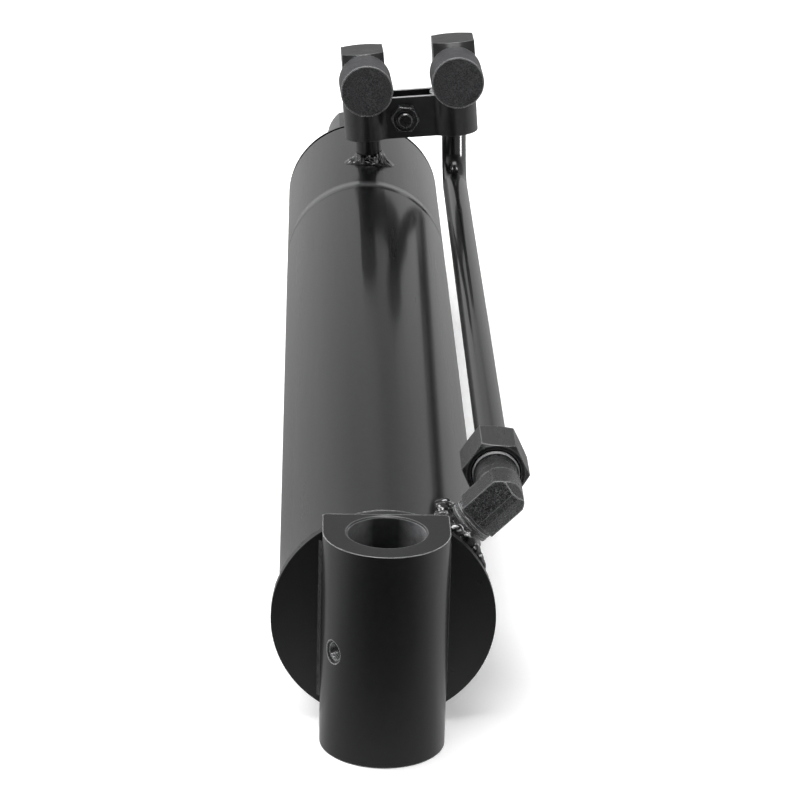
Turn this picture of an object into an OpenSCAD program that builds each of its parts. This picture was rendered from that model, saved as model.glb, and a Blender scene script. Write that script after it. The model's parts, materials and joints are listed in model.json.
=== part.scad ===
// Two-stage double-acting telescopic hydraulic cylinder with a cross-tube base,
// two capped hose ports at the head and a hard line back to the base port.
// Frame: origin at the middle of the base pin bore, +Y along the cylinder towards
// the rod end, +Z along the base pin. Lengths in millimetres.

/* [Barrel] */
// Outer diameter of the barrel tube
barrel_od = 106.4; // [80:0.2:140]
// Honed bore of the barrel tube
barrel_id = 90; // [60:0.5:120]
// Where the barrel tube ends, measured from the base pin
barrel_end = 743.5; // [400:0.5:1200]
// Visible length of the head gland ring
gland_ring = 6; // [3:0.5:20]

/* [Base] */
// Outer diameter of the round side of the cross tube
cross_od = 63.5; // [50:0.5:90]
// Bore of the cross tube, for a 38.1 mm pin
pin_bore = 38.9; // [20:0.1:52]
// Length of the cross tube along the pin
cross_len = 114.3; // [60:0.1:180]
// Distance from the pin axis to the flat back of the cross tube
cross_flat = 22; // [18:0.5:40]
// Diameter of the welded base plate
plate_od = 114.3; // [100:0.1:150]
// Thickness of the base plate rim
plate_t = 4.5; // [4:0.5:20]
// Angle of the grease hole round the pin, from the -Y side towards -X
grease_angle = 55; // [0:1:90]
// Wall diameter of the threaded grease hole
grease_d = 9.4; // [6:0.1:14]

/* [Stages] */
// Outer diameter of the first stage sleeve
sleeve_od = 76; // [60:0.5:100]
// How far the sleeve stands out of the barrel when retracted
sleeve_proud = 22; // [8:1:60]
// Diameter of the second stage plunger
plunger_d = 50; // [30:0.5:70]
// How far the plunger end stands past the barrel tube when retracted
plunger_reach = 156; // [80:1:260]
// Diameter of the rod end pin hole, for a 25.4 mm pin
rod_pin = 26; // [12:0.1:32]
// Distance across the two milled flats of the rod end
rod_flats = 38; // [30:0.5:48]
// Distance from the rod end pin to the very end
rod_end_edge = 27; // [20:0.5:50]

/* [Ports and hard line] */
// Position of the head port riser and hose ports along the cylinder
head_y = 656; // [500:1:700]
// Sideways lean of the welded head port group, in degrees
head_lean = 5; // [0:0.1:8]
// Turn of the head hose port away from the cylinder axis, in degrees
port_turn = 2; // [0:0.1:8]
// Turn of the line hose port away from the cylinder axis, in degrees
line_turn = 1; // [0:0.1:8]
// Distance between the two hose ports
port_pitch = 62; // [50:0.5:90]
// Sideways lean of the upright end of the hard line, in degrees
line_lean = 1.9; // [0:0.1:6]
// Outer diameter of the hard line tube
tube_od = 16.6; // [10:0.1:20]
// Bore of the hard line tube
tube_id = 11; // [6:0.1:16]
// Centreline radius of the bend in the hard line
bend_r = 20; // [18:0.5:40]
// Position of the base port along the cylinder
base_port_y = 45; // [40:0.5:90]
// Centre of the base elbow, sideways and upwards from the barrel axis
elbow_off = 58; // [52:0.5:75]
// Distance across the flats of the tube nut
nut_af = 31; // [24:0.5:36]
// Outer diameter of the protective port caps
cap_od = 35.4; // [30:0.2:45]
// Length of the protective port caps
cap_len = 29.2; // [15:0.1:40]

/* [Clamp] */
// Height of the stamped clamp plates along the tubes
clamp_h = 28.5; // [15:0.5:40]
// Thickness of the clamp plates
clamp_t = 3; // [2:0.25:6]
// Outer radius of the clamp cups
cup_r = 15.75; // [12:0.25:20]

/* [View] */
// Sub-part to draw

/* [Hidden] */
$fn = 96;
br = barrel_od / 2;
bi = barrel_id / 2;
plate_y = cross_flat;
plate_back = plate_y + plate_t;
sr = sleeve_od / 2;
sleeve_end = barrel_end + gland_ring + sleeve_proud;
pr = plunger_d / 2;
plunger_end = barrel_end + plunger_reach;
rod_pin_y = plunger_end - rod_end_edge;
gland_nose = 646;
gland_face = 668;
inner_ro = 32.5;
inner_ri = 30;
head_x = 2.4;
cap_r = cap_od / 2;
port_h1 = 61.1;
port_h2 = 62.7;
block_half = 14.2;
riser_r = 8.85;
clamp_w0 = 17.5;
clamp_pitch = port_pitch - 2;
bolt_u = 26.2;
bolt_w = clamp_w0 + clamp_h / 2 + 0.7;
elbow_c = [elbow_off, base_port_y, elbow_off];
wall_d = elbow_off * sqrt(2);
corner_c = [61.1, head_y - 1, 40.5];
run_v = corner_c - elbow_c;
run_len = norm(run_v);
run_yaw = atan2(run_v[0] * cos(line_lean) + run_v[2] * sin(line_lean), run_v[1]);
run_fall = asin((run_v[0] * sin(line_lean) - run_v[2] * cos(line_lean)) / run_len);
line_rise = port_pitch * sin(head_lean) + (port_h2 - block_half + 6.6) * cos(head_lean);
line_top = (br + line_rise - corner_c[2]) / cos(line_lean) / cos(run_fall);

// ---- helpers ---------------------------------------------------------------

// Cylinder along +Y from y0 to y1
module ycyl(y0, y1, r) {
  translate([0, y0, 0]) rotate([-90, 0, 0]) cylinder(r = r, h = y1 - y0);
}

// Cone along +Y
module ycone(y0, y1, r0, r1) {
  translate([0, y0, 0]) rotate([-90, 0, 0]) cylinder(r1 = r0, r2 = r1, h = y1 - y0);
}

// Ring along +Y
module yring(y0, y1, ri, ro) {
  difference() {
    ycyl(y0, y1, ro);
    ycyl(y0 - 1, y1 + 1, ri);
  }
}

// Solid of revolution round Y from a profile of radius and Y pairs
module yrev(pts) {
  rotate([-90, 0, 0]) rotate_extrude() polygon(pts);
}

// Hexagonal prism along +Y with both ends chamfered
module yhex(y0, y1, af, cham) {
  rc = af / 2 / cos(30);
  rf = af / 2 - 0.3;
  intersection() {
    translate([0, y0, 0]) rotate([-90, 0, 0]) cylinder(r = rc, h = y1 - y0, $fn = 6);
    yrev([
      [0, y0], [rf, y0], [rc + 0.2, y0 + cham],
      [rc + 0.2, y1 - cham], [rf, y1], [0, y1]
    ]);
  }
}

// Holes spread evenly round the Y axis
module yholes(y, r, n, turn, reach) {
  for (i = [0 : n - 1])
    rotate([0, turn + i * 360 / n, 0])
      translate([0, y, 0]) cylinder(r = r, h = reach);
}

// Frame of the welded head group: foot of the riser, leaning sideways
module head_frame() {
  translate([head_x, head_y, br]) rotate([0, -head_lean, 0]) children();
}

// Frame of the hard line: the corner of its bend, +Z up its upright end
module line_frame() {
  translate(corner_c)
    rotate([0, -line_lean, 0]) rotate([0, 0, -run_yaw]) rotate([-run_fall, 0, 0])
      children();
}

// The same frame moved down the long run to the middle of the base elbow
module run_frame() {
  line_frame() translate([0, -run_len, 0]) children();
}

// Frame of the base elbow: +Z points away from the barrel axis
module elbow_frame() {
  translate(elbow_c) rotate([0, 45, 0]) children();
}

// Frame of one hose port: +Y points back into the block
module port_frame(u, w, turn) {
  head_frame() translate([u, 0, w]) rotate([0, 0, turn]) children();
}

// ---- base ------------------------------------------------------------------

module base_cross_tube() {
  w = cross_od / 2 - 0.05;
  color("#26272a")
  difference() {
    union() {
      cylinder(r = cross_od / 2, h = cross_len, center = true);
      linear_extrude(height = cross_len, center = true)
        polygon([
          [-w, 0], [w, 0], [w, cross_flat - 1.6], [w - 1.6, cross_flat],
          [1.6 - w, cross_flat], [-w, cross_flat - 1.6]
        ]);
    }
    cylinder(r = pin_bore / 2, h = cross_len + 2, center = true);
    translate([-50, cross_flat, -100]) cube([100, 40, 200]);
    for (s = [-1, 1])
      scale([1, 1, s])
        translate([0, 0, cross_len / 2 - 0.9])
          cylinder(r1 = pin_bore / 2, r2 = pin_bore / 2 + 1, h = 1);
    rotate([0, 90, 270 - grease_angle]) cylinder(r = grease_d / 2, h = cross_od);
    rotate([0, 90, 270 - grease_angle])
      translate([0, 0, cross_od / 2 - 1.5])
        cylinder(r1 = grease_d / 2, r2 = grease_d / 2 + 2, h = 2);
  }
}

module cross_tube_weld() {
  w = cross_od / 2;
  h = 43;
  color("#1d1e20")
  for (s = [-1, 1])
    scale([s, 1, 1])
      translate([0, 0, -h])
        linear_extrude(height = 2 * h)
          polygon([[w, plate_y - 1.8], [w + 1.7, plate_y], [w, plate_y]]);
}

module base_plate() {
  color("#232427")
  difference() {
    union() {
      ycyl(plate_y, plate_back, plate_od / 2);
      ycyl(plate_back, plate_back + 8, bi - 0.05);
      yring(plate_back + 8, plate_back + 20.5, 32, 42);
    }
    for (a = [45, 135])
      rotate([0, a, 0])
        translate([-6, plate_back + 8, -60]) cube([12, 20, 120]);
  }
}

module base_plate_weld() {
  color("#1b1c1e")
  difference() {
    yrev([
      [br + 0.05, plate_back + 0.02], [plate_od / 2 - 0.6, plate_back + 0.02],
      [plate_od / 2 - 1.4, plate_back + 2], [br + 1.2, plate_back + 4.6],
      [br + 0.05, plate_back + 5.2]
    ]);
    elbow_frame() cylinder(r = 12.56, h = 120, center = true);
  }
}

// ---- barrel ----------------------------------------------------------------

module barrel_tube() {
  color("#26272a")
  difference() {
    yring(plate_back, barrel_end, bi, br);
    elbow_frame() {
      translate([0, 0, 47 - wall_d]) cylinder(r = 12.52, h = 40);
      translate([0, 0, -wall_d]) cylinder(r = 5, h = 60);
    }
    head_frame() {
      translate([0, 0, -5.5]) cylinder(r = riser_r + 0.02, h = 30);
      translate([0, 0, -20]) cylinder(r = 5.5, h = 40);
    }
  }
}

module barrel_gland() {
  color("#55575a")
  difference() {
    union() {
      ycyl(gland_nose, gland_face, 42);
      ycyl(gland_face, barrel_end + 0.5, bi - 0.05);
      ycyl(barrel_end + 0.4, barrel_end + 3, br - 1.6);
      ycone(barrel_end + 2.9, barrel_end + 3.4, br - 0.5, br);
      ycyl(barrel_end + 3.4, barrel_end + gland_ring - 0.8, br);
      ycone(barrel_end + gland_ring - 0.8, barrel_end + gland_ring, br, br - 0.8);
    }
    ycyl(gland_nose - 1, barrel_end + gland_ring + 1, sr + 0.35);
    yring(684, 698, sr - 1, sr + 3);
    yring(708, 717, sr - 1, sr + 4);
    yring(738, barrel_end + gland_ring + 1, sr - 1, sr + 4);
    yring(724, 728.4, 42.3, 46);
    yholes(head_y + 2, 3, 6, 15, 50);
    for (a = [-50, 130])
      rotate([0, a, 0])
        translate([0, barrel_end + gland_ring - 3.5, 47.3])
          rotate([-90, 0, 0]) cylinder(r = 2.6, h = 6);
  }
}

module gland_wear_band() {
  color("#8a7a52")
  yring(684.1, 697.9, sr + 0.04, sr + 2.95);
}

module gland_rod_seal() {
  color("#3a5a7a")
  yring(708.1, 716.9, sr + 0.04, sr + 3.95);
}

module gland_wiper() {
  y = barrel_end + gland_ring;
  color("#3b3d40")
  yrev([
    [sr + 0.04, 738.1], [sr + 3.9, 738.1], [sr + 3.9, y - 0.4],
    [sr + 2.4, y - 0.4], [sr + 1, y + 1.6], [sr + 0.04, y + 1.6]
  ]);
}

module gland_o_ring() {
  color("#2c2c2e")
  yrev([
    [42.4, 724.2], [44.5, 724.2], [44.92, 724.9],
    [44.92, 727.5], [44.5, 728.2], [42.4, 728.2]
  ]);
}

// ---- base port and hard line ------------------------------------------------

module base_port_boss() {
  color("#202124")
  elbow_frame()
    difference() {
      translate([0, 0, 47.05 - wall_d]) cylinder(r = 12.5, h = wall_d - 71.5);
      translate([0, 0, 40 - wall_d]) cylinder(r = 5, h = 20);
      translate([0, 0, 49 - wall_d]) cylinder(r = 8.05, h = 40);
    }
}

module base_port_weld() {
  color("#1a1b1d")
  difference() {
    elbow_frame()
      difference() {
        union() {
          translate([0, 0, 48 - wall_d]) cylinder(r = 17.5, h = 4.4);
          translate([0, 0, 52.3 - wall_d]) cylinder(r1 = 17.5, r2 = 13.2, h = 4.4);
        }
        cylinder(r = 12.54, h = 120, center = true);
      }
    ycyl(0, 200, br + 0.02);
    ycyl(0, plate_back + 5.3, plate_od);
  }
}

// Forged section of the leg that stands on the barrel, along +Z
module forged_leg(z0, z1) {
  translate([0, 0, z0])
    linear_extrude(height = z1 - z0)
      polygon([
        [-11, -8.8], [0, -11.8], [4, -11.2], [11, -7.8],
        [11, 7.8], [4, 11.2], [0, 11.8], [-11, 8.8]
      ]);
}

module base_port_elbow() {
  neck = 57.9 - wall_d;
  socket = tube_od / 2 + 0.14;
  color("#222326")
  difference() {
    union() {
      elbow_frame() {
        intersection() {
          forged_leg(-16, 14);
          union() {
            translate([-15, -15, -20]) cube([30, 30, 22]);
            ycyl(-14, 14, 12.2);
          }
          translate([0, 0, 16.6]) rotate([34.2, 0, 0])
            translate([-30, -60, -80]) cube([60, 120, 80]);
        }
        translate([0, 0, -20]) cylinder(r = 10.4, h = 5);
        translate([0, 0, -18.6]) cylinder(r = 11.8, h = 1.5);
        translate([0, 0, -21.4]) cylinder(r = 11.8, h = 1.6);
        translate([0, 0, neck + 6.2 - 13.5]) cylinder(r = 8, h = 14);
      }
      run_frame() {
        ycyl(9, 17, 11.6);
        ycyl(16.9, 32, 11.4);
        ycyl(31.9, 43, 11.9);
      }
    }
    elbow_frame() translate([0, 0, -60]) cylinder(r = 5, h = 60);
    run_frame() {
      ycyl(0, 50, 5.5);
      ycyl(30, 50, socket);
      ycone(39, 43.01, socket, tube_od / 2 + 1.9);
    }
  }
}

module tube_nut() {
  color("#232427")
  run_frame()
    difference() {
      rotate([0, 6, 0]) yhex(33, 63, nut_af, 1.7);
      ycyl(30, 50, 11.98);
      ycone(32.9, 35.6, 13.3, 11.98);
      ycone(49.9, 56, 11.98, tube_od / 2 + 0.5);
      ycyl(50, 70, tube_od / 2 + 0.5);
    }
}

module tube_ferrule() {
  tr = tube_od / 2 + 0.06;
  color("#8b8d90")
  run_frame()
    yrev([[tr, 43.2], [tr + 2, 43.2], [tr + 2.6, 45], [tr + 2.6, 49], [tr, 51.5]]);
}

// Centreline solid of the hard line
module line_path(r, extra) {
  union() {
    ycyl(33 - run_len - extra, -bend_r, r);
    translate([0, -bend_r, bend_r])
      rotate([0, 90, 0])
        rotate_extrude(angle = 90) translate([bend_r, 0]) circle(r = r);
    translate([0, 0, bend_r]) cylinder(r = r, h = line_top - bend_r + extra);
  }
}

module transfer_tube() {
  color("#26272a")
  line_frame()
    difference() {
      line_path(tube_od / 2, 0);
      line_path(tube_id / 2, 1);
    }
}

// ---- head ports -------------------------------------------------------------

module head_port_riser() {
  color("#26272a")
  head_frame()
    difference() {
      translate([0, 0, -5.45]) cylinder(r = riser_r, h = port_h1 - block_half + 12);
      translate([0, 0, -6]) cylinder(r = 5.5, h = 70);
    }
}

module head_port_weld() {
  color("#1a1b1d")
  difference() {
    head_frame()
      difference() {
        union() {
          translate([0, 0, -5]) cylinder(r = 15.5, h = 5.2);
          translate([0, 0, 0.15]) cylinder(r1 = 15.5, r2 = 11.2, h = 2.6);
          translate([0, 0, 2.7]) cylinder(r1 = 11.2, r2 = 9.4, h = 4);
        }
        cylinder(r = riser_r + 0.04, h = 40, center = true);
      }
    ycyl(500, 740, br + 0.02);
  }
}

// Square forged elbow with a turned chamfer front and back and a male port
module port_elbow(u, w, turn, above) {
  port_frame(u, w, turn)
    difference() {
      union() {
        intersection() {
          translate([-block_half, -15, -block_half])
            cube([2 * block_half, 30, block_half + above]);
          translate([0, 0, (above - block_half) / 2])
            yrev([[0, -15], [14.6, -15], [25, -8.2], [25, 8.2], [15.6, 15], [0, 15]]);
        }
        ycyl(-38, -14.9, 13);
      }
      ycyl(-39, 0, 5.5);
      ycone(-38.01, -32, 8.6, 5.5);
      translate([0, 0, -20]) cylinder(r = 5.5, h = 20);
    }
}

module head_port_elbow() {
  color("#232427")
  difference() {
    port_elbow(0, port_h1, port_turn, 17.5);
    head_frame()
      translate([0, 0, port_h1 - block_half - 5])
        cylinder(r = riser_r + 0.03, h = 12);
  }
}

module base_line_elbow() {
  color("#232427")
  difference() {
    port_elbow(port_pitch, port_h2, line_turn, 19.8);
    line_frame() translate([0, 0, line_top - 20]) cylinder(r = tube_od / 2 + 0.03, h = 20.5);
  }
}

// Protective cap that covers a male port
module port_cap(u, w, turn) {
  y1 = -16.2;
  y0 = y1 - cap_len;
  color("#1f2022")
  port_frame(u, w, turn)
    difference() {
      yrev([
        [0, y0], [cap_r - 0.9, y0], [cap_r - 0.25, y0 + 0.3], [cap_r, y0 + 1],
        [cap_r, y1 - 0.5], [cap_r - 0.5, y1], [0, y1]
      ]);
      ycyl(y0 + 5, y1 + 1, 13.08);
    }
}

module head_port_cap() {
  port_cap(0, port_h1, port_turn);
}

module base_line_cap() {
  port_cap(port_pitch, port_h2, line_turn);
}

// ---- clamp ------------------------------------------------------------------

// Rounded inner corner between a cup and the web of a clamp plate
module cup_fillet(web_f) {
  rho = 8;
  uc = sqrt(pow(cup_r + rho, 2) - pow(rho - web_f, 2));
  k = cup_r / (cup_r + rho);
  linear_extrude(height = clamp_h)
    difference() {
      polygon([
        [uc * k, (web_f - rho) * k], [uc, web_f], [uc, web_f + 1.5], [uc * k - 0.4, web_f + 1.5]
      ]);
      translate([uc, web_f - rho + 0.03]) circle(r = rho);
    }
}

// One stamped plate with a cup for each tube, on the -Y side of the tubes
module clamp_plate() {
  gap = 0.6;
  web_f = -11;
  difference() {
    translate([0, 0, clamp_w0])
      union() {
        for (u = [0, clamp_pitch])
          translate([u, 0, 0]) cylinder(r = cup_r, h = clamp_h);
        translate([6, web_f, 0]) cube([clamp_pitch - 12, clamp_t, clamp_h]);
        cup_fillet(web_f);
        translate([clamp_pitch, 0, 0]) scale([-1, 1, 1]) cup_fillet(web_f);
      }
    for (u = [0, clamp_pitch])
      translate([u, 0, 0]) cylinder(r = cup_r - clamp_t, h = 100);
    translate([-30, -gap, 0]) cube([clamp_pitch + 60, 40, 100]);
    translate([bolt_u, -20, bolt_w]) rotate([-90, 0, 0]) cylinder(r = 5.3, h = 20);
  }
}

module clamp_front_plate() {
  color("#232427")
  head_frame() clamp_plate();
}

module clamp_rear_plate() {
  color("#232427")
  head_frame() scale([1, -1, 1]) clamp_plate();
}

module clamp_liners() {
  ro = cup_r - clamp_t - 0.03;
  color("#2a2a2a")
  difference() {
    head_frame()
      for (u = [0, clamp_pitch])
        difference() {
          translate([u, 0, clamp_w0 + 0.5]) cylinder(r = ro, h = clamp_h - 1);
          translate([u + 4, -0.6, 0]) cube([20, 1.2, 100]);
        }
    head_frame() cylinder(r = riser_r + 0.04, h = 100);
    line_frame() cylinder(r = tube_od / 2 + 0.04, h = 100);
  }
}

module clamp_bolt() {
  color("#2b2c2f")
  head_frame()
    translate([bolt_u, 0, bolt_w]) {
      ycyl(-21.5, 13.2, 5);
      ycone(-22.3, -21.5, 4.3, 5);
      yhex(13.1, 19.5, 17, 0.9);
    }
}

module clamp_nut() {
  color("#2b2c2f")
  head_frame()
    translate([bolt_u, 0, bolt_w])
      difference() {
        rotate([0, 8, 0]) yhex(-19.4, -11.05, 17, 1.2);
        ycyl(-30, 0, 5.05);
        ycone(-19.5, -18.4, 5.9, 5.05);
      }
}

module clamp_washers() {
  color("#2b2c2f")
  head_frame()
    translate([bolt_u, 0, bolt_w]) yring(11.05, 13.05, 5.2, 9.8);
}

// ---- first stage sleeve ------------------------------------------------------

module sleeve_outer_tube() {
  color("#c9cccf")
  difference() {
    yring(76, sleeve_end - 12, sr - 3.5, sr);
    yholes(101, 2.5, 6, 0, 50);
  }
}

module sleeve_inner_tube() {
  color("#9a9da0")
  difference() {
    yring(64, 700, inner_ri, inner_ro);
    yholes(688, 2, 6, 0, 40);
  }
}

module sleeve_piston() {
  color("#6d7074")
  difference() {
    ycyl(51, 91, bi - 0.35);
    ycyl(50, 64, 14);
    ycyl(63.9, 92, inner_ro + 0.03);
    yring(75.9, 92, sr - 3.53, sr + 0.03);
    yring(76, 92, inner_ro - 1, sr - 3);
    yring(57, 65, bi - 5, bi + 1);
    yring(72, 84, bi - 3, bi + 1);
    for (i = [0 : 5])
      rotate([0, i * 60, 0]) translate([0, 0, 22]) ycyl(50, 70, 3);
  }
}

module sleeve_piston_seal() {
  color("#3a5a7a")
  yring(57.1, 64.9, bi - 4.95, bi - 0.04);
}

module sleeve_wear_ring() {
  color("#8a7a52")
  yring(72.1, 83.9, bi - 2.95, bi - 0.04);
}

module sleeve_gland() {
  y1 = sleeve_end;
  color("#55575a")
  difference() {
    union() {
      ycyl(680, 700.2, inner_ri - 0.04);
      ycyl(700.1, y1 - 11.9, sr - 3.54);
      ycyl(y1 - 12, y1 - 0.8, sr);
      ycone(y1 - 0.8, y1, sr, sr - 0.8);
    }
    ycyl(670, y1 + 1, pr + 0.35);
    ycyl(679, 694, 27);
    yholes(688, 2, 6, 0, 40);
    yring(712, 722, pr - 1, pr + 2.5);
    yring(730, 738, pr - 1, pr + 4);
    yring(y1 - 10, y1 + 1, pr - 1, pr + 4);
    yring(744, 748.2, sr - 6, sr);
  }
}

module sleeve_wear_band() {
  color("#8a7a52")
  yring(712.1, 721.9, pr + 0.04, pr + 2.45);
}

module sleeve_rod_seal() {
  color("#3a5a7a")
  yring(730.1, 737.9, pr + 0.04, pr + 3.95);
}

module sleeve_wiper() {
  y1 = sleeve_end;
  color("#3b3d40")
  yrev([
    [pr + 0.04, y1 - 9.9], [pr + 3.9, y1 - 9.9], [pr + 3.9, y1 - 0.4],
    [pr + 2.4, y1 - 0.4], [pr + 1, y1 + 1.6], [pr + 0.04, y1 + 1.6]
  ]);
}

module sleeve_o_ring() {
  color("#2c2c2e")
  yrev([
    [sr - 5.9, 744.2], [sr - 4, 744.2], [sr - 3.58, 744.9],
    [sr - 3.58, 747.4], [sr - 4, 748.1], [sr - 5.9, 748.1]
  ]);
}

// ---- second stage plunger ------------------------------------------------------

module plunger() {
  f = rod_flats / 2;
  color("#d3d6d9")
  difference() {
    union() {
      ycyl(66, 114.1, 11.9);
      ycyl(114, plunger_end - 1.6, pr);
      ycone(plunger_end - 1.6, plunger_end, pr, pr - 1.6);
    }
    translate([0, rod_pin_y, 0]) cylinder(r = rod_pin / 2, h = 80, center = true);
    for (s = [-1, 1])
      scale([1, 1, s])
        translate([-40, rod_pin_y - 26, f]) cube([80, 100, 30]);
  }
}

module plunger_piston() {
  color("#6d7074")
  difference() {
    ycyl(84, 113.95, inner_ri - 0.3);
    ycyl(80, 120, 11.93);
    yring(89, 96, inner_ri - 4, inner_ri + 1);
    yring(101, 109, inner_ri - 2.5, inner_ri + 1);
  }
}

module plunger_piston_seal() {
  color("#3a5a7a")
  yring(89.1, 95.9, inner_ri - 3.95, inner_ri - 0.04);
}

module plunger_wear_ring() {
  color("#8a7a52")
  yring(101.1, 108.9, inner_ri - 2.45, inner_ri - 0.04);
}

module plunger_lock_nut() {
  color("#55575a")
  difference() {
    yhex(68, 83.9, 36, 1.6);
    ycyl(60, 90, 11.94);
  }
}

// ---- output ------------------------------------------------------------------

base_cross_tube();
cross_tube_weld();
base_plate();
base_plate_weld();
barrel_tube();
base_port_boss();
base_port_weld();
base_port_elbow();
tube_nut();
tube_ferrule();
transfer_tube();
head_port_riser();
head_port_weld();
head_port_elbow();
base_line_elbow();
clamp_front_plate();
clamp_rear_plate();
clamp_liners();
clamp_bolt();
clamp_nut();
clamp_washers();
barrel_gland();
gland_wear_band();
gland_rod_seal();
gland_wiper();
gland_o_ring();
head_port_cap();
base_line_cap();
sleeve_outer_tube();
sleeve_inner_tube();
sleeve_piston();
sleeve_piston_seal();
sleeve_wear_ring();
sleeve_gland();
sleeve_wear_band();
sleeve_rod_seal();
sleeve_wiper();
sleeve_o_ring();
plunger();
plunger_piston();
plunger_piston_seal();
plunger_wear_ring();
plunger_lock_nut();
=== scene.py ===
import json
import math

import bmesh
import bpy
from mathutils import Matrix, Vector, noise


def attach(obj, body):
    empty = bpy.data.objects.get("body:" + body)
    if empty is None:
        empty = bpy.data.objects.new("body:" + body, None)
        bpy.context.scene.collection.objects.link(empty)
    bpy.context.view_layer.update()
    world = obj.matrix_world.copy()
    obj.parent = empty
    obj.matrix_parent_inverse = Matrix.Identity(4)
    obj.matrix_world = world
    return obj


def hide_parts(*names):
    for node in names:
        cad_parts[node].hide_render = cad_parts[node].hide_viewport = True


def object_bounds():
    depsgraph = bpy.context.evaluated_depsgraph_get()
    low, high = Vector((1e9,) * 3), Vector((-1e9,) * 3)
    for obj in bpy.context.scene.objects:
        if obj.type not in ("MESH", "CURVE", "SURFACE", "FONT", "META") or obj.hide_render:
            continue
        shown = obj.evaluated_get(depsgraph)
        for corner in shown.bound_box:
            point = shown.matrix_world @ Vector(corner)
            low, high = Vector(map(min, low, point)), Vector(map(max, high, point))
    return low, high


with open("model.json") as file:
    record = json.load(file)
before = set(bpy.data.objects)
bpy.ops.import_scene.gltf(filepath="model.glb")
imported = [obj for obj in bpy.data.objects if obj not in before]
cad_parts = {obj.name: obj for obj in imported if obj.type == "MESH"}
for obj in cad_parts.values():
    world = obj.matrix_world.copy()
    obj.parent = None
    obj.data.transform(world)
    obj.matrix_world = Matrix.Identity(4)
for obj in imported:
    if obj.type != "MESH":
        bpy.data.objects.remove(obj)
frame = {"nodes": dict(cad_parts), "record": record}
cad_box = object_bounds()
NODES = frame["nodes"]
MM = 0.001

# ---- the part's own frames, in metres ---------------------------------------

BARREL_R = 0.0532
HEAD = Matrix.Translation((0.0024, 0.656, BARREL_R)) @ Matrix.Rotation(math.radians(-5), 4, "Y")
ELBOW_CENTRE = Vector((0.058, 0.045, 0.058))
ELBOW = Matrix.Translation(ELBOW_CENTRE) @ Matrix.Rotation(math.radians(45), 4, "Y")
ELBOW_TO_AXIS = 0.058 * math.sqrt(2)
RUN_END = Vector((0.0611, 0.655, 0.0405))
RUN = (RUN_END - ELBOW_CENTRE).normalized()

PAINT_IOR = 1.45
SATIN_BLACK = (0.0034, 0.0035, 0.0037)
# the bare steel of the cross tube's bore, and also the colour of the painted glints on the weld
STEEL_AND_GLINT_GREY = (0.4, 0.405, 0.415)


# ---- node helpers -------------------------------------------------------------

class NodeTree:
    """Short calls for the nodes that the paints, the floor card and the world all use."""

    def __init__(self, tree):
        self.tree = tree
        tree.nodes.clear()

    def add(self, kind):
        return self.tree.nodes.new("ShaderNode" + kind)

    def wire(self, source, socket):
        self.tree.links.new(source, socket)

    def math(self, operation, one, two=None):
        node = self.add("Math")
        node.operation = operation
        for socket, value in zip(node.inputs, (one, two)):
            if isinstance(value, (int, float)):
                socket.default_value = value
            elif value is not None:
                self.wire(value, socket)
        return node.outputs[0]

    def times(self, *factors):
        result = factors[0]
        for factor in factors[1:]:
            result = self.math("MULTIPLY", result, factor)
        return result

    def split(self, vector):
        """The X, Y and Z outputs of a vector."""
        node = self.add("SeparateXYZ")
        self.wire(vector, node.inputs[0])
        return node.outputs

    def ranged(self, source, low, high, a=0.3, b=0.7):
        """low where the source is a, high where it is b, and clamped outside them."""
        node = self.add("MapRange")
        node.inputs["From Min"].default_value = a
        node.inputs["From Max"].default_value = b
        node.inputs["To Min"].default_value = low
        node.inputs["To Max"].default_value = high
        self.wire(source, node.inputs["Value"])
        return node.outputs[0]

    def smooth_fall(self, source, near, far):
        """1 up to near, falling smoothly to 0 at far."""
        node = self.add("MapRange")
        node.interpolation_type = "SMOOTHSTEP"
        node.inputs["From Min"].default_value = far
        node.inputs["From Max"].default_value = near
        self.wire(source, node.inputs["Value"])
        return node.outputs[0]

    def ramp(self, source, stops):
        """Brightness along stops of (position, value), first to last, with straight lines between them."""
        low, high = stops[0][0], stops[-1][0]
        node = self.add("ValToRGB")
        elements = node.color_ramp.elements
        while len(elements) > 1:
            elements.remove(elements[-1])
        for k, (position, value) in enumerate(stops):
            where = (position - low) / (high - low)
            element = elements[0] if k == 0 else elements.new(where)
            element.position = where
            element.color = (value, value, value, 1)
        self.wire(self.ranged(source, 0.0, 1.0, low, high), node.inputs[0])
        return node.outputs[0]


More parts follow.
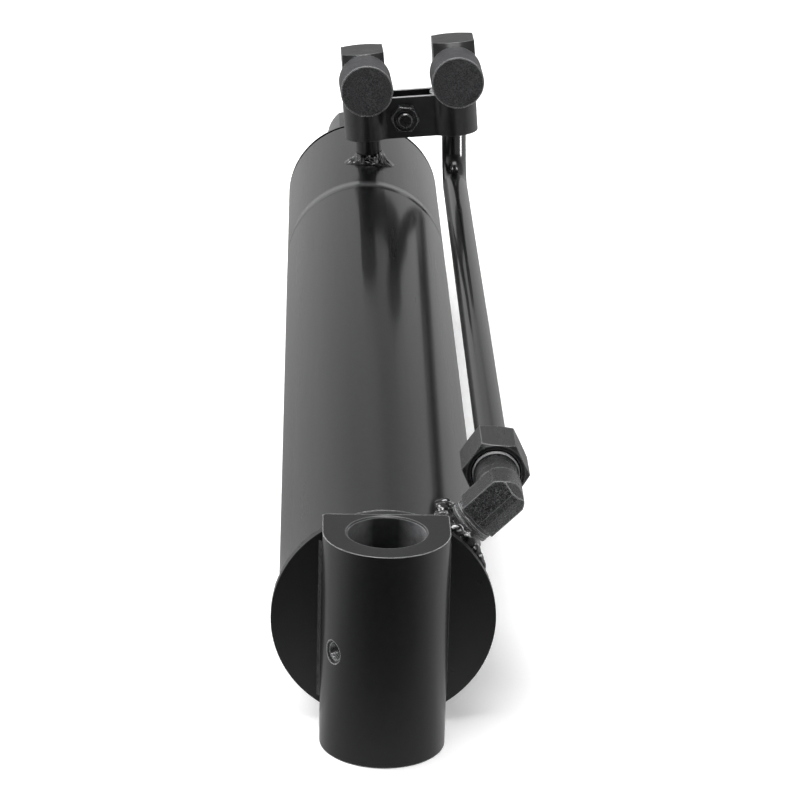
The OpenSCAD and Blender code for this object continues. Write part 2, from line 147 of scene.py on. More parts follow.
class Paint(NodeTree):
    """A material with one Principled shader, built up from procedural layers in object space."""

    def __init__(self, name, color, rough, metallic=0.0, coat=0.0, coat_rough=0.05, bevel=0.0):
        self.mat = bpy.data.materials.new(name)
        self.mat.use_nodes = True
        super().__init__(self.mat.node_tree)
        out = self.add("OutputMaterial")
        self.shader = self.add("BsdfPrincipled")
        self.wire(self.shader.outputs[0], out.inputs[0])
        self.color = color
        self.rough = rough
        self.set("Base Color", (*color, 1))
        self.set("Roughness", rough)
        self.set("Metallic", metallic)
        self.set("IOR", PAINT_IOR)
        self.set("Coat Weight", coat)
        self.set("Coat Roughness", coat_rough)
        self.coords = self.add("TexCoord").outputs["Object"]
        self.normal = None
        if bevel:
            node = self.add("Bevel")
            node.samples = 4
            node.inputs["Radius"].default_value = bevel
            self.use_normal(node.outputs[0])

    def set(self, name, value):
        self.shader.inputs[name].default_value = value

    def link(self, source, name):
        self.wire(source, self.shader.inputs[name])

    def use_normal(self, source):
        self.normal = source
        self.link(source, "Normal")
        self.link(source, "Coat Normal")

    def mapped(self, scale=(1, 1, 1)):
        node = self.add("Mapping")
        node.inputs["Scale"].default_value = scale
        self.wire(self.coords, node.inputs["Vector"])
        return node.outputs[0]

    def noise(self, scale, detail=3.0, rough=0.55, stretch=(1, 1, 1)):
        node = self.add("TexNoise")
        self.wire(self.mapped(stretch), node.inputs["Vector"])
        node.inputs["Scale"].default_value = scale
        node.inputs["Detail"].default_value = detail
        node.inputs["Roughness"].default_value = rough
        return node.outputs[0]

    def waves(self, scale, axis, kind="BANDS", distort=0.0):
        node = self.add("TexWave")
        node.wave_type = kind
        if kind == "BANDS":
            node.bands_direction = axis
        else:
            node.rings_direction = axis
        self.wire(self.mapped(), node.inputs["Vector"])
        node.inputs["Scale"].default_value = scale
        node.inputs["Distortion"].default_value = distort
        node.inputs["Detail"].default_value = 2
        node.inputs["Detail Scale"].default_value = 1.5
        return node.outputs["Fac"]

    def axis(self, name):
        return self.split(self.coords)[name]

    def facing(self, axis, kind="True Normal"):
        """How far the surface faces along an axis, from -1 to 1."""
        return self.split(self.add("NewGeometry").outputs[kind])[axis]

    def near(self, source, centre, width):
        """1 where the source is at the centre, falling smoothly to 0 at the width away from it."""
        away = self.math("ABSOLUTE", self.math("SUBTRACT", source, centre))
        return self.smooth_fall(away, 0.0, width)

    def edges(self, radius, a=0.004, b=0.05):
        """1 along sharp edges and 0 on open faces, from a rounded normal against the true one."""
        round_normal = self.add("Bevel")
        round_normal.samples = 4
        round_normal.inputs["Radius"].default_value = radius
        true_normal = self.add("NewGeometry").outputs["True Normal"]
        dot = self.add("VectorMath")
        dot.operation = "DOT_PRODUCT"
        self.wire(round_normal.outputs[0], dot.inputs[0])
        self.wire(true_normal, dot.inputs[1])
        return self.ranged(self.math("SUBTRACT", 1.0, dot.outputs["Value"]), 0, 1, a, b)

    def mixed_color(self, mask, one, two):
        """Sends the base colour from one to two as the mask goes from 0 to 1; each is a colour or a socket."""
        node = self.add("Mix")
        node.data_type = "RGBA"
        sockets = [s for s in node.inputs if s.type == "RGBA"]
        for socket, color in zip(sockets, (one, two)):
            if isinstance(color, tuple):
                socket.default_value = (*color, 1)
            else:
                self.wire(color, socket)
        self.wire(mask, node.inputs["Factor"])
        self.link([s for s in node.outputs if s.type == "RGBA"][0], "Base Color")

    def over(self, mask, color):
        """Lays another colour over the base colour where the mask is 1."""
        links = self.shader.inputs["Base Color"].links
        self.mixed_color(mask, links[0].from_socket if links else self.color, color)

    def vary_color(self, source, low, high, a=0.3, b=0.7):
        """The base colour swings between low and high shares of the paint's own colour."""
        self.mixed_color(self.ranged(source, 0, 1, a, b), tuple(c * low for c in self.color),
                         tuple(c * high for c in self.color))

    def vary_rough(self, source, spread):
        self.link(self.ranged(source, self.rough - spread, self.rough + spread), "Roughness")

    def dull(self, mask, coat):
        """Takes the shine off where the mask is 1."""
        self.link(self.ranged(mask, 0.5, 0.0, 0.0, 1.0), "Specular IOR Level")
        self.link(self.ranged(mask, coat, 0.0, 0.0, 1.0), "Coat Weight")

    def bump(self, source, distance, strength=1.0):
        node = self.add("Bump")
        node.inputs["Strength"].default_value = strength
        node.inputs["Distance"].default_value = distance
        self.wire(source, node.inputs["Height"])
        if self.normal is not None:
            self.wire(self.normal, node.inputs["Normal"])
        self.use_normal(node.outputs[0])


def satin_paint(name):
    """The satin coat of the long pieces, with its streaks along Y."""
    p = Paint(name, SATIN_BLACK, 0.3, coat=0.75, coat_rough=0.095, bevel=0.0005)
    p.vary_rough(p.noise(60, 4, 0.6, stretch=(1, 0.06, 1)), 0.035)
    p.vary_color(p.noise(240), 0.7, 1.35)
    p.bump(p.noise(900, 2, 0.4), 0.00001, 0.5)
    return p


def upright_paint(name):
    """The satin coat of pieces that stand along Z, with its streaks that way."""
    p = Paint(name, SATIN_BLACK, 0.34, coat=0.4, coat_rough=0.12, bevel=0.0006)
    p.vary_rough(p.noise(150, 4, 0.6, stretch=(1, 1, 0.05)), 0.05)
    p.vary_color(p.noise(300), 0.8, 1.3)
    p.bump(p.noise(1200, 2, 0.4), 0.00001, 0.6)
    return p


def barrel_paint():
    """The barrel's thicker coat, with the low ridge that runs round it ahead of the head ports, lightened in
    colour by a painted highlight.
    """
    ridge_y, ridge_width = 0.6, 0.0085
    p = satin_paint("barrel_black_paint")
    p.set("Specular IOR Level", 0.15)
    p.set("Coat Weight", 1.0)
    p.set("Coat IOR", 1.54)
    p.set("Coat Roughness", 0.125)
    ridge = p.near(p.axis("Y"), ridge_y, ridge_width)
    p.bump(ridge, 0.0005)
    # painted highlight: the ridge is coloured lighter than the rest of the coat
    p.over(ridge, (0.042, 0.0425, 0.044))
    p.bump(p.noise(2200, 2, 0.5), 0.000012, 0.6)
    return p.mat


def cross_tube_paint():
    """The cross tube's coat, with a dull turned steel bore that has painted shade deeper in and painted light
    towards its left and right, painted highlights on its lips and a painted highlight on the rim of the grease
    hole.
    """
    bore_r, lip_r = 0.01955, 0.0215
    end_z, hole_z = 0.05, 0.0075
    p = upright_paint("cross_tube_paint")
    x, y, z = p.axis("X"), p.axis("Y"), p.axis("Z")
    radius = p.math("SQRT", p.math("ADD", p.times(x, x), p.times(y, y)))
    from_middle = p.math("ABSOLUTE", z)
    bore = p.math("LESS_THAN", radius, bore_r)
    # painted shade: the bore's steel darkens deeper into the bore
    depth = p.ranged(from_middle, 0.0, 1.0, 0.02, 0.056)
    turned = p.ranged(p.waves(700, "Z", distort=1.2), 0.45, 1.0, 0.2, 0.8)
    patchy = p.ranged(p.noise(90, 4), 0.5, 1.0, 0.35, 0.65)
    # painted light: the bore is lighter towards its left and right walls
    sides = p.ranged(p.math("ABSOLUTE", x), 0.12, 1.0, 0.006, 0.017)
    p.over(p.times(bore, depth, sides, turned, patchy), STEEL_AND_GLINT_GREY)
    p.dull(bore, 0.4)
    # painted highlight: the outer edge of each end is brighter than the edge of its bore
    share = p.math("SUBTRACT", 1, p.times(p.math("LESS_THAN", radius, lip_r), 0.65))
    lip_highlight = p.times(p.math("GREATER_THAN", from_middle, end_z), share)
    # painted highlight along the rim of the grease hole
    hole = p.times(p.math("LESS_THAN", from_middle, hole_z), p.math("LESS_THAN", y, -0.005))
    p.over(p.times(p.edges(0.0008, 0.01, 0.06), p.math("ADD", lip_highlight, hole)), (0.36, 0.362, 0.368))
    return p.mat


def nut_paint():
    p = Paint("nut_black_paint", (0.005, 0.0051, 0.0054), 0.3, coat=0.5, coat_rough=0.14, bevel=0.0007)
    p.vary_rough(p.noise(200, 4, 0.6, stretch=(1, 0.1, 1)), 0.07)
    p.vary_color(p.noise(500, 3, 0.6, stretch=(1, 0.3, 1)), 0.5, 1.7)
    p.bump(p.noise(1300, 3, 0.6), 0.00012, 0.8)
    # painted highlight along the edges
    p.over(p.edges(0.001), (0.08, 0.081, 0.084))
    return p.mat


def clamp_paint():
    """The clamp plates' coat, lighter on the faces that look up, a painted highlight."""
    p = Paint("clamp_black_paint", (0.009, 0.0092, 0.0096), 0.34, coat=0.55, coat_rough=0.22, bevel=0.0008)
    p.vary_rough(p.noise(150, 4, 0.6, stretch=(1, 1, 0.08)), 0.06)
    p.vary_color(p.noise(300), 0.75, 1.35)
    p.bump(p.noise(1000, 2, 0.5), 0.00001, 0.6)
    # painted highlight along the edges
    p.over(p.edges(0.0008), (0.05, 0.051, 0.053))
    # painted highlight: the faces that look up are lighter
    p.over(p.ranged(p.facing("Z"), 0.0, 1.0, 0.85, 0.95), (0.3, 0.302, 0.308))
    return p.mat


def machined_paint():
    """A thin coat over turned steel, with the tool's rings round Y."""
    p = Paint("machined_black_paint", (0.004, 0.0041, 0.0043), 0.32, coat=0.3, coat_rough=0.12, bevel=0.0005)
    rings = p.waves(420, "Y", "RINGS", distort=0.6)
    p.bump(rings, 0.000006, 0.6)
    p.bump(p.noise(1500, 2, 0.5), 0.000008, 0.5)
    p.vary_rough(p.noise(90, 4), 0.05)
    p.vary_color(rings, 0.6, 1.5)
    # painted highlight along the edges
    p.over(p.edges(0.0006), (0.03, 0.031, 0.032))
    return p.mat


def gloss_paint():
    p = Paint("gloss_black_paint", (0.0032, 0.0033, 0.0035), 0.22, coat=0.8, coat_rough=0.07)
    p.vary_rough(p.noise(70, 3, 0.6, stretch=(1, 0.08, 0.4)), 0.04)
    p.vary_color(p.noise(200), 0.8, 1.3)
    p.bump(p.noise(260, 2, 0.45, stretch=(1, 0.5, 0.7)), 0.00003, 0.4)
    return p.mat


def forged_paint():
    """A sandy forged skin, with painted glints as bright specks on the faces toward the base end, and painted
    highlights along its edges.
    """
    p = Paint("forged_black_paint", (0.0035, 0.0036, 0.0038), 0.26, coat=0.6, coat_rough=0.12, bevel=0.001)
    sand = p.noise(1100, 3, 0.65)
    p.bump(p.noise(180, 3, 0.5), 0.0003, 0.5)
    p.bump(sand, 0.0004)
    p.vary_rough(p.noise(120, 4), 0.07)
    p.vary_color(sand, 0.4, 2.4, 0.36, 0.66)
    # painted glints: bright specks on the faces toward the base end
    front = p.ranged(p.facing("Y"), 1.0, 0.1, -0.9, -0.5)
    glint_speckle = p.ranged(p.noise(2100, 1, 0.5), 0.0, 1.0, 0.5, 0.72)
    p.over(p.times(front, glint_speckle), (0.11, 0.112, 0.116))
    # painted highlight along the edges
    p.over(p.edges(0.0013, 0.03, 0.1), (0.28, 0.283, 0.288))
    return p.mat


def block_paint():
    p = Paint("block_black_paint", (0.006, 0.0061, 0.0064), 0.36, coat=0.5, coat_rough=0.16, bevel=0.0006)
    p.bump(p.noise(700, 3, 0.6), 0.00003, 0.5)
    p.vary_rough(p.noise(110, 4), 0.06)
    p.vary_color(p.noise(260, 4), 0.75, 1.3)
    # painted highlight along the edges
    p.over(p.edges(0.0008), (0.07, 0.071, 0.074))
    return p.mat


def weld_paint(name, glint_flecks):
    """Wet-looking paint over a bead, with painted glints as bright spots on top of it, or with bands across it.
    """
    p = Paint(name, (0.0022, 0.0022, 0.0024), 0.16, coat=0.8)
    p.bump(p.noise(520, 3, 0.6), 0.0005, 0.6)
    p.vary_rough(p.noise(200), 0.08)
    p.vary_color(p.noise(350), 0.7, 1.6)
    if glint_flecks:
        # painted glints: bright spots where the bead faces up
        facing_up = p.ranged(p.facing("Z", "Normal"), 0.0, 1.0, 0.15, 0.6)
        p.over(p.times(facing_up, p.ranged(p.noise(300, 1), 0.0, 1.0, 0.6, 0.7)), STEEL_AND_GLINT_GREY)
    else:
        p.bump(p.waves(330, "Y", distort=1.5), 0.0003)
    return p.mat


def gland_paint():
    """The head gland's thin coat, made dark and dull by painted shade on the barrel's side of groove_y."""
    groove_y = 0.7472
    p = Paint("gland_paint", (0.035, 0.036, 0.038), 0.34, coat=0.4, coat_rough=0.12, bevel=0.0003)
    rings = p.waves(900, "Y", distort=0.4)
    p.bump(rings, 0.00001, 0.5)
    p.vary_color(rings, 0.8, 1.25)
    p.vary_rough(p.noise(120), 0.05)
    # painted shade: near-black and dull on the barrel's side of groove_y
    groove_shade = p.math("LESS_THAN", p.axis("Y"), groove_y)
    p.over(groove_shade, (0.0008, 0.0008, 0.0008))
    p.dull(groove_shade, 0.4)
    return p.mat


def metal(name, color, rough, band, bevel=0.0003, ripple=0.000006):
    """Bare metal turned round Y: band is the scale of the tool's marks and ripple their depth."""
    p = Paint(name, color, rough, metallic=1.0, bevel=bevel)
    p.vary_rough(p.noise(400, 4, 0.6, stretch=(1, 0.08, 1)), rough * 0.35)
    p.vary_color(p.noise(90, 4), 0.88, 1.1)
    p.bump(p.waves(band, "Y", distort=0.5), ripple, 0.6)
    return p.mat


def soft_polymer(name, color, rough, grain=900):
    p = Paint(name, color, rough, bevel=0.0003)
    p.vary_color(p.noise(220, 4), 0.8, 1.25)
    p.vary_rough(p.noise(160), 0.08)
    p.bump(p.noise(grain, 2, 0.6), 0.00003, 0.7)
    return p.mat


def bearing_cloth():
    p = Paint("bearing_fabric", (0.42, 0.3, 0.14), 0.6, bevel=0.0002)
    weave = p.times(p.waves(1400, "Y"), p.waves(1400, "X"))
    p.vary_color(weave, 0.7, 1.2, 0.1, 0.8)
    p.bump(weave, 0.00003, 0.6)
    return p.mat


def cap_plastic():
    """Moulded plastic: a fine sandy grain all over, and a painted highlight as a light rim along its edges."""
    p = Paint("cap_plastic", (0.024, 0.024, 0.0257), 0.5, bevel=0.0005)
    grain = p.noise(1350, 2, 0.75)
    p.vary_color(grain, 0.15, 2.3, 0.38, 0.64)
    p.bump(grain, 0.00012, 0.9)
    p.vary_rough(p.noise(140), 0.05)
    # painted highlight along the edges
    p.over(p.edges(0.0006, 0.012, 0.05), (0.45, 0.45, 0.455))
    return p.mat


def black_oxide():
    p = Paint("black_oxide", (0.004, 0.004, 0.0044), 0.28, coat=0.5, coat_rough=0.1, bevel=0.0007)
    p.vary_rough(p.noise(260), 0.07)
    p.vary_color(p.noise(400), 0.7, 1.5)
    p.bump(p.noise(900), 0.00004, 0.6)
    # painted highlight along the edges
    p.over(p.edges(0.0009), (0.09, 0.091, 0.094))
    return p.mat


MATS = {
    "satin_black_paint": satin_paint("satin_black_paint").mat,
    "machined_black_paint": machined_paint(),
    "gloss_black_paint": gloss_paint(),
    "forged_black_paint": forged_paint(),
    "weld_paint": weld_paint("weld_paint", glint_flecks=True),
    "gland_paint": gland_paint(),
    "gland_steel": metal("gland_steel", (0.34, 0.35, 0.37), 0.3, band=700),
    "hard_chrome": metal("hard_chrome", (0.3, 0.305, 0.315), 0.09, band=1500, bevel=0.0004, ripple=0.0000008),
    "honed_steel": metal("honed_steel", (0.5, 0.51, 0.53), 0.25, band=900),
    "cast_iron_piston": metal("cast_iron_piston", (0.2, 0.2, 0.21), 0.4, band=600),
    "bearing_fabric": bearing_cloth(),
    "seal_polymer": soft_polymer("seal_polymer", (0.06, 0.2, 0.34), 0.35, 700),
    "wiper_rubber": soft_polymer("wiper_rubber", (0.012, 0.012, 0.013), 0.5),
    "nitrile": soft_polymer("nitrile", (0.012, 0.012, 0.012), 0.45),
    "liner_rubber": soft_polymer("liner_rubber", (0.014, 0.014, 0.014), 0.6),
    "zinc_steel": metal("zinc_steel", (0.5, 0.51, 0.53), 0.35, band=800),
    "black_oxide": black_oxide(),
    "cap_plastic": cap_plastic(),
}
# pieces whose look differs from the rest of their slot
BY_PIECE = {
    "head_port_riser": upright_paint("satin_black_upright").mat,
    "base_cross_tube": cross_tube_paint(),
    "barrel_tube": barrel_paint(),
    "tube_nut": nut_paint(),
}
BY_PIECE.update(dict.fromkeys(("clamp_front_plate", "clamp_rear_plate"), clamp_paint()))
BY_PIECE.update(dict.fromkeys(("head_port_elbow", "base_line_elbow"), block_paint()))


def dress(obj, mat):
    obj.data.materials.clear()
    obj.data.materials.append(mat)


slot_of = {n: m["slot"] for m in frame["record"]["materials"] for n in m.get("nodes", [])}
for name, obj in NODES.items():
    slot = slot_of.get(name)
    if slot is None and obj.data.materials:
        slot = obj.data.materials[0].name.split(".")[0]
    dress(obj, BY_PIECE.get(name) or MATS.get(slot, MATS["satin_black_paint"]))


# ---- mesh helpers -------------------------------------------------------------

def add_object(name, data):
    obj = bpy.data.objects.new(name, data)
    bpy.context.scene.collection.objects.link(obj)
    return obj


def finish_mesh(name, rings, mat, replaced=(), lumps=()):
    """A smooth piece on the barrel, from rings of points and any separate lumps."""
    bm = bmesh.new()
    torus_grid(bm, rings)
    for centre, radii, seed, rough in lumps:
        ball(bm, centre, radii, seed, rough)
    bmesh.ops.recalc_face_normals(bm, faces=bm.faces)
    mesh = bpy.data.meshes.new(name)
    bm.to_mesh(mesh)
    bm.free()
    for polygon in mesh.polygons:
        polygon.use_smooth = True
    obj = add_object(name, mesh)
    dress(obj, mat)
    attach(obj, "barrel")
    if replaced:
        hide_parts(*replaced)
    return obj


def torus_grid(bm, rings):
    """Closed surface from rings of points; every ring is a closed section and the last ring joins the first."""
    verts = [[bm.verts.new(p) for p in ring] for ring in rings]
    n, m = len(verts), len(verts[0])
    for i in range(n):
        for j in range(m):
            a, b = verts[i], verts[(i + 1) % n]
            bm.faces.new((a[j], a[(j + 1) % m], b[(j + 1) % m], b[j]))


def ball(bm, centre, radii, seed, rough):
    """An uneven ellipsoid."""
    for v in bmesh.ops.create_icosphere(bm, subdivisions=3, radius=1.0)["verts"]:
        k = 1 + rough * noise.noise(v.co * 2.1 + Vector((seed, 0, 0)))
        v.co = Vector(centre) + Vector([a * b for a, b in zip(v.co, radii)]) * k


def lump(p, scale, seed):
    """Smooth noise from -1 to 1 at a point, with features of about the given scale."""
    return noise.noise(Vector(p) / scale + Vector((seed, seed * 0.7, -seed)))


# ---- riser weld ----------------------------------------------------------------

def barrel_z(x):
    return math.sqrt(max(BARREL_R**2 - x**2, 0))


def riser_weld():
    """The fillet round the riser's foot: rippled on its sides, and rougher ahead and behind."""
    steps, section = 160, 14
    inner, crown_r, corner_r = 8.7 * MM, 9.15 * MM, 9.3 * MM
    rings = []
    for i in range(steps):
        phi = 2 * math.pi * i / steps
        c, s = math.cos(phi), math.sin(phi)
        side = c * c
        reach = (13.0 + 4.6 * side**2) * MM
        top = (6.6 + 0.6 * side - 0.4 * max(0.0, -s)) * MM

        def at(r, z):
            return HEAD @ Vector((r * c, r * s, z))

        foot = at(reach, 0)
        foot.z = barrel_z(foot.x) + 0.00005
        crown = at(crown_r, top)
        corner = at(corner_r + 0.6 * (reach - corner_r) * (1 - side), top * (0.2 + 0.55 * (1 - side)))
        out = (foot - crown).normalized()
        up = Vector((-s, c, 0)).cross(out).normalized()
        if up.z < 0:
            up = -up
        ring = []
        for k in range(section):
            t = k / (section - 1)
            p = (1 - t) ** 2 * crown + 2 * t * (1 - t) * corner + t * t * foot
            fade = math.sin(math.pi * min(max(t, 0.04), 0.96))
            ripple = 0.22 * math.cos(phi * 34 + 3.2 * math.sin(3 * t)) * MM
            rough = (0.55 + 0.75 * (1 - side)) * lump(p, 0.0024, 3.1) * MM
            rough += 0.5 * lump(p, 0.0052, 8.0) * MM
            ring.append(p + up * fade * (ripple * side + rough))
        low = at(reach * 0.93, 0)
        low.z = barrel_z(low.x) - 0.001
        ring += [low, at(inner, -1.2 * MM), at(inner, top * 0.5), at(inner, top * 0.97)]
        rings.append(ring)
    finish_mesh("riser_weld_bead", rings, MATS["weld_paint"], ["head_port_weld"])


riser_weld()


# ---- base port weld --------------------------------------------------------------

def fuse(obj, voxel):
    """Joins overlapping lumps into one closed skin and smooths it a little."""
    remesh = obj.modifiers.new("fuse", "REMESH")
    remesh.mode = "VOXEL"
    remesh.voxel_size = voxel
    remesh.use_smooth_shade = True
    smooth = obj.modifiers.new("soften", "SMOOTH")
    smooth.factor = 0.5
    smooth.iterations = 3
    graph = bpy.context.evaluated_depsgraph_get()
    mesh = bpy.data.meshes.new_from_object(obj.evaluated_get(graph))
    obj.modifiers.clear()
    mesh.name = obj.data.name + "_skin"
    obj.data = mesh
    for polygon in mesh.polygons:
        polygon.use_smooth = True


def port_weld():
    """The bead round the elbow's boss, with its runs and drips."""
    steps, section = 140, 10
    crown_r, inner, bottom = 12.5 * MM, 11.6 * MM, -0.0335
    bead_r, bead_starts_y = 0.0560, -0.0135
    rings = []
    for i in range(steps):
        phi = 2 * math.pi * i / steps
        c, s = math.cos(phi), math.sin(phi)
        reach = (14.9 + 1.1 * lump((c, s, 0), 0.6, 5.0) + 0.8 * max(0, -s) + 0.9 * max(0, -c)) * MM
        top = (56.6 + 0.9 * lump((c, s, 0), 0.5, 1.0)) * MM - ELBOW_TO_AXIS
        ring = []
        for k in range(section):
            t = k / (section - 1)
            r = crown_r * (1 - t) + reach * t
            x, y = r * c, r * s
            # near the plate the weld sits on the plate's own bead instead of on the barrel
            below = BARREL_R if y > bead_starts_y else bead_r
            ground = math.sqrt(below**2 - x**2) - ELBOW_TO_AXIS
            z = (1 - t) ** 1.25 * top + (1 - (1 - t) ** 1.25) * ground
            p = ELBOW @ Vector((x, y, z))
            out = (p - Vector((0, p.y, 0))).normalized()
            lift = 0.6 * lump(p, 0.0034, 2.0) + 0.16 * math.cos(phi * 26)
            ring.append(p + out * math.sin(math.pi * min(t + 0.05, 1)) * lift * MM)
        for r, z in ((reach * 0.9, bottom), (inner, bottom), (inner, top - 0.3 * MM)):
            ring.append(ELBOW @ Vector((r * c, r * s, z)))
        rings.append(ring)
    # the last pass of the bead, its cold start on the barrel and the run down to the plate
    lumps = (
        ((0.0310, 0.0655, 0.0443), (0.0058, 0.0052, 0.0034), 1.0, 0.3),
        ((0.0345, 0.0625, 0.0428), (0.0046, 0.0052, 0.0036), 2.3, 0.3),
        ((0.0300, 0.0590, 0.0450), (0.0038, 0.0046, 0.0028), 4.1, 0.3),
        ((0.0405, 0.0325, 0.0388), (0.0066, 0.0040, 0.0060), 6.0, 0.2),
        ((0.0350, 0.0320, 0.0446), (0.0050, 0.0034, 0.0038), 7.0, 0.2),
        ((0.0457, 0.0315, 0.0338), (0.0030, 0.0034, 0.0044), 8.0, 0.2),
        ((0.0482, 0.0305, 0.0300), (0.0022, 0.0028, 0.0038), 9.0, 0.2),
        ((0.0500, 0.0300, 0.0258), (0.0016, 0.0022, 0.0036), 3.0, 0.2),
    )
    obj = finish_mesh("base_port_weld_bead", rings, MATS["weld_paint"], ["base_port_weld"], lumps)
    fuse(obj, 0.0006)


port_weld()


# ---- plate weld ------------------------------------------------------------------

def plate_weld():
    """The bead round the plate; its first points are its open face, and only those are uneven."""
    profile = [(53.0, 32.6), (53.7, 32.4), (54.6, 31.8), (55.6, 30.8), (56.4, 29.5), (56.95, 28.2),
               (57.05, 27.3), (56.7, 26.7), (54.8, 26.55), (53.0, 26.55), (52.4, 29.2)]
    open_points = 8
    steps = 720
    limit = 57.12  # just inside the plate's own edge, so the bead stays in the CAD box
    rings = []
    for i in range(steps):
        phi = 2 * math.pi * i / steps
        c, s = math.cos(phi), math.sin(phi)
        ring = []
        for k, (r, y) in enumerate(profile):
            lift = 0
            if k < open_points:
                wave = math.cos(phi * 110 + 1.1 * math.sin(k * 0.55))
                lift = 0.07 * wave * math.sin(math.pi * (k + 0.5) / open_points)
                lift += 0.35 * lump((c * 0.055, y * MM, s * 0.055), 0.006, 2.0)
            radius = min(r + lift * 0.8, limit) * MM
            ring.append((radius * c, (y + lift * 0.7) * MM, radius * s))
        rings.append(ring)
    paint = weld_paint("plate_weld_paint", glint_flecks=False)
    finish_mesh("plate_weld_bead", rings, paint, ["base_plate_weld"])


plate_weld()


# ---- threads -----------------------------------------------------------------------

def thread_sleeve(name, matrix, length, inside, outside, pitch, on_bore, mat, fade=0.0):
    """A thin sleeve along local +Z with a helical ridge on its bore or outside, rising over the fade length."""
    steps, rows = 64, max(6, int(length / pitch * 12))
    height = outside - inside
    wall = outside if on_bore else inside
    rings = []
    for j in range(steps):
        phi = 2 * math.pi * j / steps

        def at(r, z):
            return matrix @ Vector((r * math.cos(phi), r * math.sin(phi), z))

        ring = []
        for i in range(rows + 1):
            z = length * i / rows
            wave = abs(((z / pitch - phi / (2 * math.pi)) % 1) * 2 - 1)
            rise = height * wave * (min(1.0, z / fade) if fade else 1.0)
            ring.append(at(outside - 0.00012 - rise if on_bore else inside + 0.0001 + rise, z))
        ring += [at(wall, z) for z in (length, length * 0.5, 0.0)]
        rings.append(ring)
    finish_mesh(name, rings, mat)


def along(origin, direction):
    turn = Vector((0, 0, 1)).rotation_difference(Vector(direction))
    return Matrix.Translation(origin) @ turn.to_matrix().to_4x4()


GREASE_TURN = math.radians(55)
GREASE_OUT = Vector((-math.sin(GREASE_TURN), -math.cos(GREASE_TURN), 0))
thread_sleeve("grease_thread", along(GREASE_OUT * 0.0302, -GREASE_OUT), 0.0085, 0.0041, 0.00468, 0.00125,
              True, metal("cut_thread", (0.38, 0.385, 0.39), 0.2, band=300))
thread_sleeve("elbow_thread", along(ELBOW_CENTRE + RUN * 0.0305, RUN), 0.0040, 0.01186, 0.01225, 0.0015,
              False, MATS["forged_black_paint"], fade=0.0006)


# ---- floor, lights and camera ---------------------------------------------------------

def plane(name, x0, x1, y0, y1, z):
    mesh = bpy.data.meshes.new(name)
    mesh.from_pydata([(x0, y0, z), (x1, y0, z), (x1, y1, z), (x0, y1, z)], [], [(0, 1, 2, 3)])
    obj = add_object(name, mesh)
    return obj


floor_z = cad_box[0].z - 0.0002
floor = plane("floor", -14, 14, -14, 14, floor_z)
paper = Paint("paper", (0.86, 0.86, 0.86), 0.9)
paper.vary_color(paper.noise(40, 3), 0.985, 1.0)
paper.set("Emission Color", (1, 1, 1, 1))
paper.set("Emission Strength", 0.31)
dress(floor, paper.mat)
floor.visible_glossy = False


def front_card():
    """A card that only reflections see: the floor ahead of the base, which darkens towards the camera."""
    card = plane("front_card", -0.36, 0.36, -1.2, 0.03, floor_z + 0.0001)
    mat = bpy.data.materials.new("front_card")
    mat.use_nodes = True
    t = NodeTree(mat.node_tree)
    x, y, _ = t.split(t.add("TexCoord").outputs["Object"])
    glow = t.add("Emission")
    t.wire(t.ramp(y, [(-0.36, 0.02), (-0.243, 0.05), (-0.165, 0.11), (-0.1182, 0.18), (-0.0363, 0.42),
                      (0.03, 0.62)]), glow.inputs[0])
    mix = t.add("MixShader")
    t.wire(t.smooth_fall(t.math("ABSOLUTE", x), 0.17, 0.33), mix.inputs[0])
    t.wire(t.add("BsdfTransparent").outputs[0], mix.inputs[1])
    t.wire(glow.outputs[0], mix.inputs[2])
    t.wire(mix.outputs[0], t.add("OutputMaterial").inputs[0])
    dress(card, mat)
    card.visible_camera = card.visible_diffuse = card.visible_shadow = False
    card.visible_transmission = card.visible_volume_scatter = False


front_card()


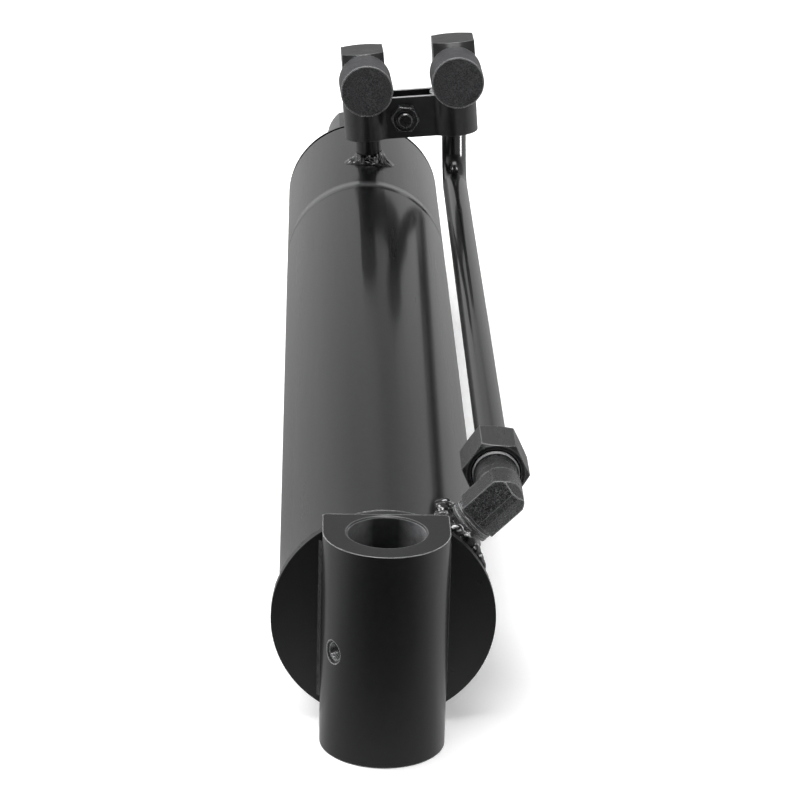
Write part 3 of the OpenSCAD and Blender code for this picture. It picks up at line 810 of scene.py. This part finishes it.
def world_light():
    """The studio as light and reflections find it, by direction; the camera itself sees plain white."""
    world = bpy.data.worlds.new("studio")
    bpy.context.scene.world = world
    world.use_nodes = True
    t = NodeTree(world.node_tree)

    def mixed(factor, a, b):
        return t.math("ADD", t.times(a, t.math("SUBTRACT", 1, factor)), t.times(b, factor))

    x, y, z = t.split(t.add("TexCoord").outputs["Generated"])
    path = t.add("LightPath").outputs

    # the room all round, darker behind the camera and above
    around = t.times(
        t.ramp(y, [(-1, 0.04), (-0.85, 0.1), (-0.6, 0.42), (-0.3, 0.8), (0, 1.0), (0.3, 1.0),
                   (0.6, 0.85), (0.9, 0.62), (1, 0.62)]),
        t.ramp(z, [(0.3, 1.0), (0.46, 0.42), (0.9, 0.42)]))
    # the far end of the room, which the barrel's top reflects
    ahead = t.ramp(y, [(0.90, 0.5), (0.9135, 0.5), (0.93, 0.6), (0.947, 0.72), (0.965, 0.86), (1.0, 0.8)])
    height = t.ramp(z, [(-0.4, 0.62), (-0.17, 0.66), (0.06, 0.55), (0.2, 0.48), (0.27, 0.46), (0.31, 0.43),
                        (0.345, 0.43), (0.38, 0.52), (0.5, 0.52)])
    stripe = t.ramp(x, [(-0.05, 1.0), (0.0, 0.93), (0.05, 0.7), (0.09, 0.64), (0.13, 0.72), (0.18, 0.82),
                        (0.3, 0.8)])
    stripe = mixed(t.ramp(z, [(0.24, 0.0), (0.3, 1.0)]), 1.0, stripe)
    light = mixed(t.math("GREATER_THAN", y, 0.9135), around, t.times(ahead, height, stripe))
    light = t.times(light, t.ramp(z, [(-1, 0.5), (-0.35, 0.62), (0.0, 0.9), (0.1, 1.0), (1, 1.0)]))
    # the lit floor on the camera's side
    low_front = t.times(t.ramp(y, [(-1, 0.55), (-0.8, 0.55), (-0.5, 0.0), (1, 0.0)]),
                        t.ramp(z, [(-1, 1.0), (-0.25, 1.0), (-0.12, 0.0), (1, 0.0)]))
    light = t.math("ADD", light, low_front)
    # an overhead lamp and a fainter one on the camera's side, left out of the diffuse light
    window = t.times(t.ramp(x, [(-0.34, 0.0), (-0.24, 1.0), (0.2, 1.0), (0.3, 0.0)]),
                     t.ramp(z, [(0.56, 0.0), (0.62, 1.0), (0.78, 1.0), (0.84, 0.0)]),
                     t.math("LESS_THAN", y, 0.0), 0.35)
    lamps = t.math("ADD", t.ramp(z, [(0.92, 0.0), (0.955, 1.0)]), window)
    lamps = t.times(lamps, t.math("SUBTRACT", 1, path["Is Diffuse Ray"]), 13.0)

    room = t.add("Background")
    t.wire(t.math("ADD", light, lamps), room.inputs["Color"])
    white = t.add("Background")
    white.inputs["Color"].default_value = (1, 1, 1, 1)
    mix = t.add("MixShader")
    t.wire(path["Is Camera Ray"], mix.inputs[0])
    t.wire(room.outputs[0], mix.inputs[1])
    t.wire(white.outputs[0], mix.inputs[2])
    t.wire(mix.outputs[0], t.add("OutputWorld").inputs[0])


world_light()


def light_only(obj, target):
    """Limits a lamp to one object, and returns the collection that does it."""
    group = bpy.data.collections.new(obj.name + "_only")
    group.objects.link(target)
    obj.light_linking.receiver_collection = group
    return group


def area_light(name, place, target, size, power, glossy=False, size_y=None):
    data = bpy.data.lights.new(name, "AREA")
    data.energy = power
    data.size = size
    if size_y:
        data.shape = "RECTANGLE"
        data.size_y = size_y
    obj = add_object(name, data)
    obj.location = place
    obj.rotation_euler = (Vector(target) - Vector(place)).to_track_quat("-Z", "Y").to_euler()
    obj.visible_glossy = glossy
    obj.visible_camera = False
    return obj


area_light("key", (-1.5, 0.9, 2.3), (0, 0.35, 0), 1.5, 55)


def floor_sun():
    """A wide soft sun that lights only the floor, so its shadows stay close to the object."""
    data = bpy.data.lights.new("floor_sun", "SUN")
    data.energy = 0.75
    data.angle = math.radians(40)
    obj = add_object("floor_sun", data)
    obj.rotation_euler = (0, math.radians(-8), 0)
    obj.visible_glossy = False
    light_only(obj, floor)


floor_sun()


def tube_light():
    """A tall narrow softbox that only the hard line sees, for the bright line down its upright end."""
    lamp = area_light("tube_light_right", (0.329, 0.535, -0.0355), (0.0611, 0.612, 0.0725), 0.08, 0.8,
                      glossy=True, size_y=0.16)
    lamp.light_linking.blocker_collection = light_only(lamp, NODES["transfer_tube"])


tube_light()


def camera():
    """The camera that was solved from the photograph's outlines."""
    eye = (-0.0442508, -1.412218, 0.666293)
    yaw, pitch, roll = 0.0347229, 0.3646714, 0.0255988
    focal_px, photo_px, sensor_mm = 3116.42, 800, 36
    forward = Vector((math.sin(yaw) * math.cos(pitch), math.cos(yaw) * math.cos(pitch), -math.sin(pitch)))
    level_right = Vector((math.cos(yaw), -math.sin(yaw), 0))
    level_up = level_right.cross(forward)
    right = math.cos(roll) * level_right + math.sin(roll) * level_up
    up = -math.sin(roll) * level_right + math.cos(roll) * level_up
    data = bpy.data.cameras.new("camera")
    data.sensor_width = sensor_mm
    data.lens = sensor_mm * focal_px / photo_px
    data.clip_end = 100
    obj = add_object("camera", data)
    obj.matrix_world = Matrix.Translation(eye) @ Matrix((right, up, -forward)).transposed().to_4x4()
    bpy.context.scene.camera = obj


camera()
bpy.context.scene.view_settings.view_transform = "Standard"
